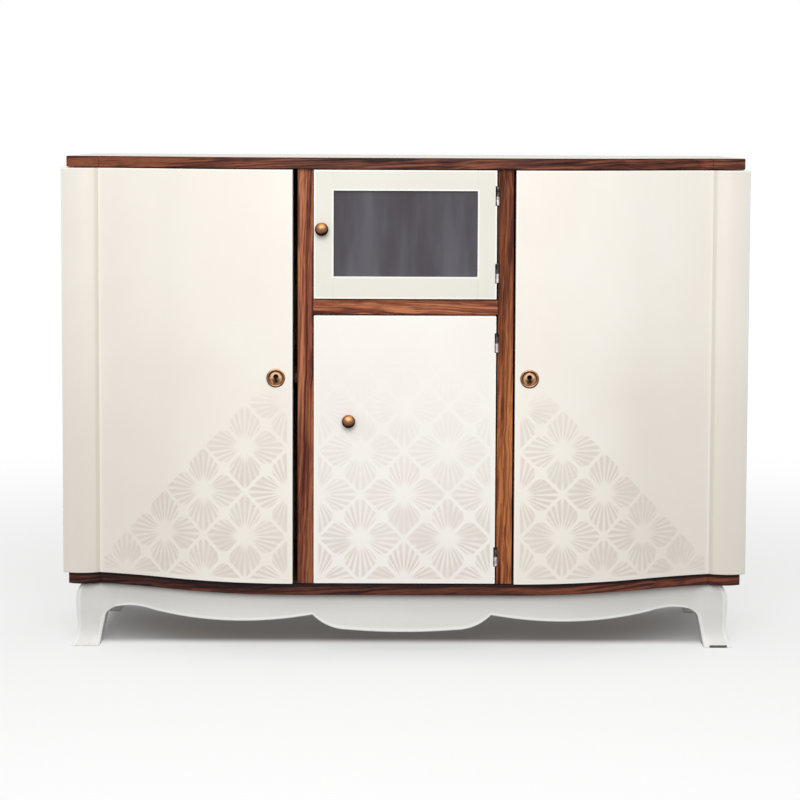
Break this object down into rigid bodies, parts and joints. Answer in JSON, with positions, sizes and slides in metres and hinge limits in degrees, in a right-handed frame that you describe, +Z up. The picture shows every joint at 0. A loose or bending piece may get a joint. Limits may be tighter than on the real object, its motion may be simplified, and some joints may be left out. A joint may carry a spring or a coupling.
{
  "type": "bow-front sideboard cupboard",
  "caption": "Painted bow-front sideboard cupboard with dark edge strips, curved locking side doors, a small glazed door over a plain centre door, and a scalloped base on shaped feet.",
  "frame": {"origin": "middle of the footprint on the floor, knobs included", "axes": "+X to the right seen from the front, +Y towards the back, +Z up"},
  "size_m": [1.404, 0.5192, 1.008],
  "materials": {
    "cream_paint": "brushed cream paint over wood, satin, with a faint stencilled lattice",
    "base_paint": "white paint over shaped wood, satin",
    "rosewood": "oiled red-brown timber with dark grain",
    "inside_wood": "plain softwood, waxed",
    "back_ply": "thin plywood, raw",
    "knob_bronze": "aged bronze, worn lighter on the face",
    "escutcheon_brass": "aged brass, darkened in the dish",
    "hinge_steel": "darkened steel with rubbed bright spots",
    "lock_iron": "blackened iron",
    "dark_glass": "smoked glossy glass"
  },
  "bodies": {
    "carcase": {"back_apron": "inside_wood", "back_feet": "base_paint", "back_panel": "back_ply", "bottom_board": "inside_wood", "bottom_strip_bow": "rosewood", "bottom_strip_corners": "rosewood", "cross_rail": "rosewood", "door_catches": "lock_iron", "frame_hinge_leaves": "hinge_steel", "frame_hinge_screws": "hinge_steel", "front_apron": "base_paint", "front_foot_left": "base_paint", "front_foot_right": "base_paint", "glass_deck": "inside_wood", "glue_blocks": "inside_wood", "hinge_pins": "hinge_steel", "lock_keeps": "lock_iron", "mullion_left": "rosewood", "mullion_right": "rosewood", "partition_left": "inside_wood", "partition_right": "inside_wood", "shelf_centre": "inside_wood", "shelf_cleats": "inside_wood", "shelf_left": "inside_wood", "shelf_right": "inside_wood", "side_aprons": "base_paint", "side_panel_left": "cream_paint", "side_panel_right": "cream_paint", "top_board": "cream_paint", "top_strip_bow": "rosewood", "top_strip_corners": "rosewood"},
    "left_door": {"left_door_panel": "cream_paint", "left_door_pilaster": "cream_paint", "left_escutcheon": "escutcheon_brass", "left_lock_case": "lock_iron", "left_hinge_leaves": "hinge_steel", "left_hinge_screws": "hinge_steel"},
    "right_door": {"right_door_panel": "cream_paint", "right_door_pilaster": "cream_paint", "right_escutcheon": "escutcheon_brass", "right_lock_case": "lock_iron", "right_hinge_leaves": "hinge_steel", "right_hinge_screws": "hinge_steel"},
    "glass_door": {"glass_door_stiles": "cream_paint", "glass_door_rails": "cream_paint", "glass_pane": "dark_glass", "glazing_beads": "cream_paint", "glass_door_knob": "knob_bronze", "glass_door_hinge_leaves": "hinge_steel", "glass_door_hinge_screws": "hinge_steel", "glass_door_catch_plate": "lock_iron"},
    "lower_door": {"lower_door_panel": "cream_paint", "lower_door_knob": "knob_bronze", "lower_door_hinge_leaves": "hinge_steel", "lower_door_hinge_screws": "hinge_steel", "lower_door_catch_plate": "lock_iron"},
    "left_bolt": {"left_lock_bolt": "lock_iron"},
    "right_bolt": {"right_lock_bolt": "lock_iron"}
  },
  "joints": [
    {"name": "left_door_swing", "type": "hinge", "parent": "carcase", "child": "left_door", "pos_m": [-0.698, -0.11038, 0.504], "axis": [0, 0, -1], "range_deg": [0, 160]},
    {"name": "left_bolt_slide", "type": "slide", "parent": "left_door", "child": "left_bolt", "axis": [1, 0, 0], "range_m": [0, 0.013]},
    {"name": "right_door_swing", "type": "hinge", "parent": "carcase", "child": "right_door", "pos_m": [0.698, -0.11038, 0.504], "axis": [0, 0, 1], "range_deg": [0, 160]},
    {"name": "right_bolt_slide", "type": "slide", "parent": "right_door", "child": "right_bolt", "axis": [-1, 0, 0], "range_m": [0, 0.013]},
    {"name": "glass_door_swing", "type": "hinge", "parent": "carcase", "child": "glass_door", "pos_m": [0.1825, -0.22922, 0.856], "axis": [0, 0, 1], "range_deg": [0, 120]},
    {"name": "lower_door_swing", "type": "hinge", "parent": "carcase", "child": "lower_door", "pos_m": [0.1825, -0.22922, 0.4245], "axis": [0, 0, 1], "range_deg": [0, 120]}
  ]
}
